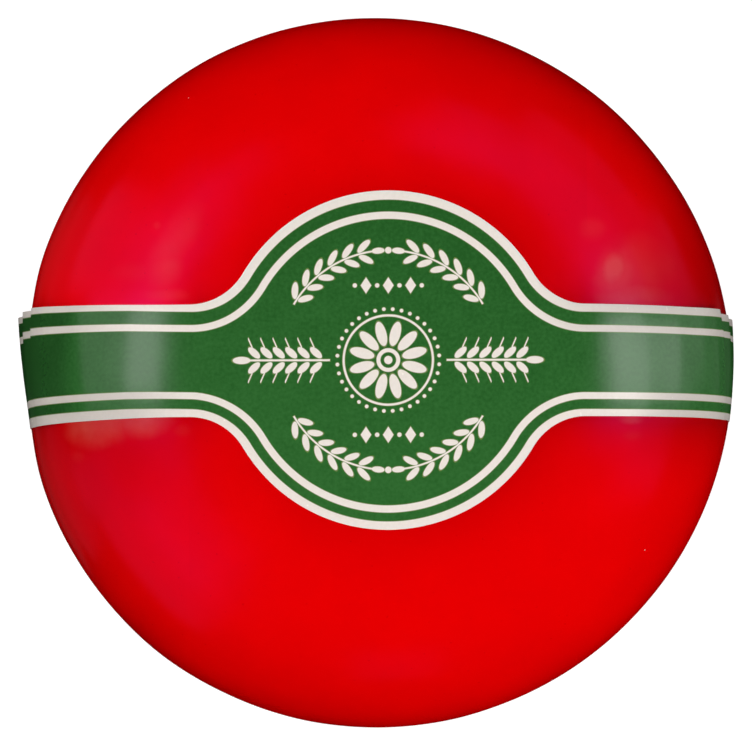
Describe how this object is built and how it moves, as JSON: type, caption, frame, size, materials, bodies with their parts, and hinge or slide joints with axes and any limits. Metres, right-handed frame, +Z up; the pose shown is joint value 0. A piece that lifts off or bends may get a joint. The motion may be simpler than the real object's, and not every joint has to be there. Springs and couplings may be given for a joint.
{
  "type": "whole edam cheese",
  "caption": "Whole round edam cheese in red wax, flattened like a thick wheel, with a printed paper label whose disc lies on top and whose arms wrap down over the sides.",
  "frame": {"origin": "on the resting surface, under the middle of the whole part's box", "axes": "+Z up through the flat top with its label, X along the label's two arms, +Y towards the back edge of the label"},
  "size_m": [0.1726, 0.1706, 0.0929],
  "materials": {
    "red_wax": "smooth satin red cheese wax with soft mottling",
    "printed_paper": "satin printed paper, green with cream border lines"
  },
  "bodies": {
    "root": {"waxed_cheese": "red_wax", "paper_label": "printed_paper"}
  },
  "joints": []
}
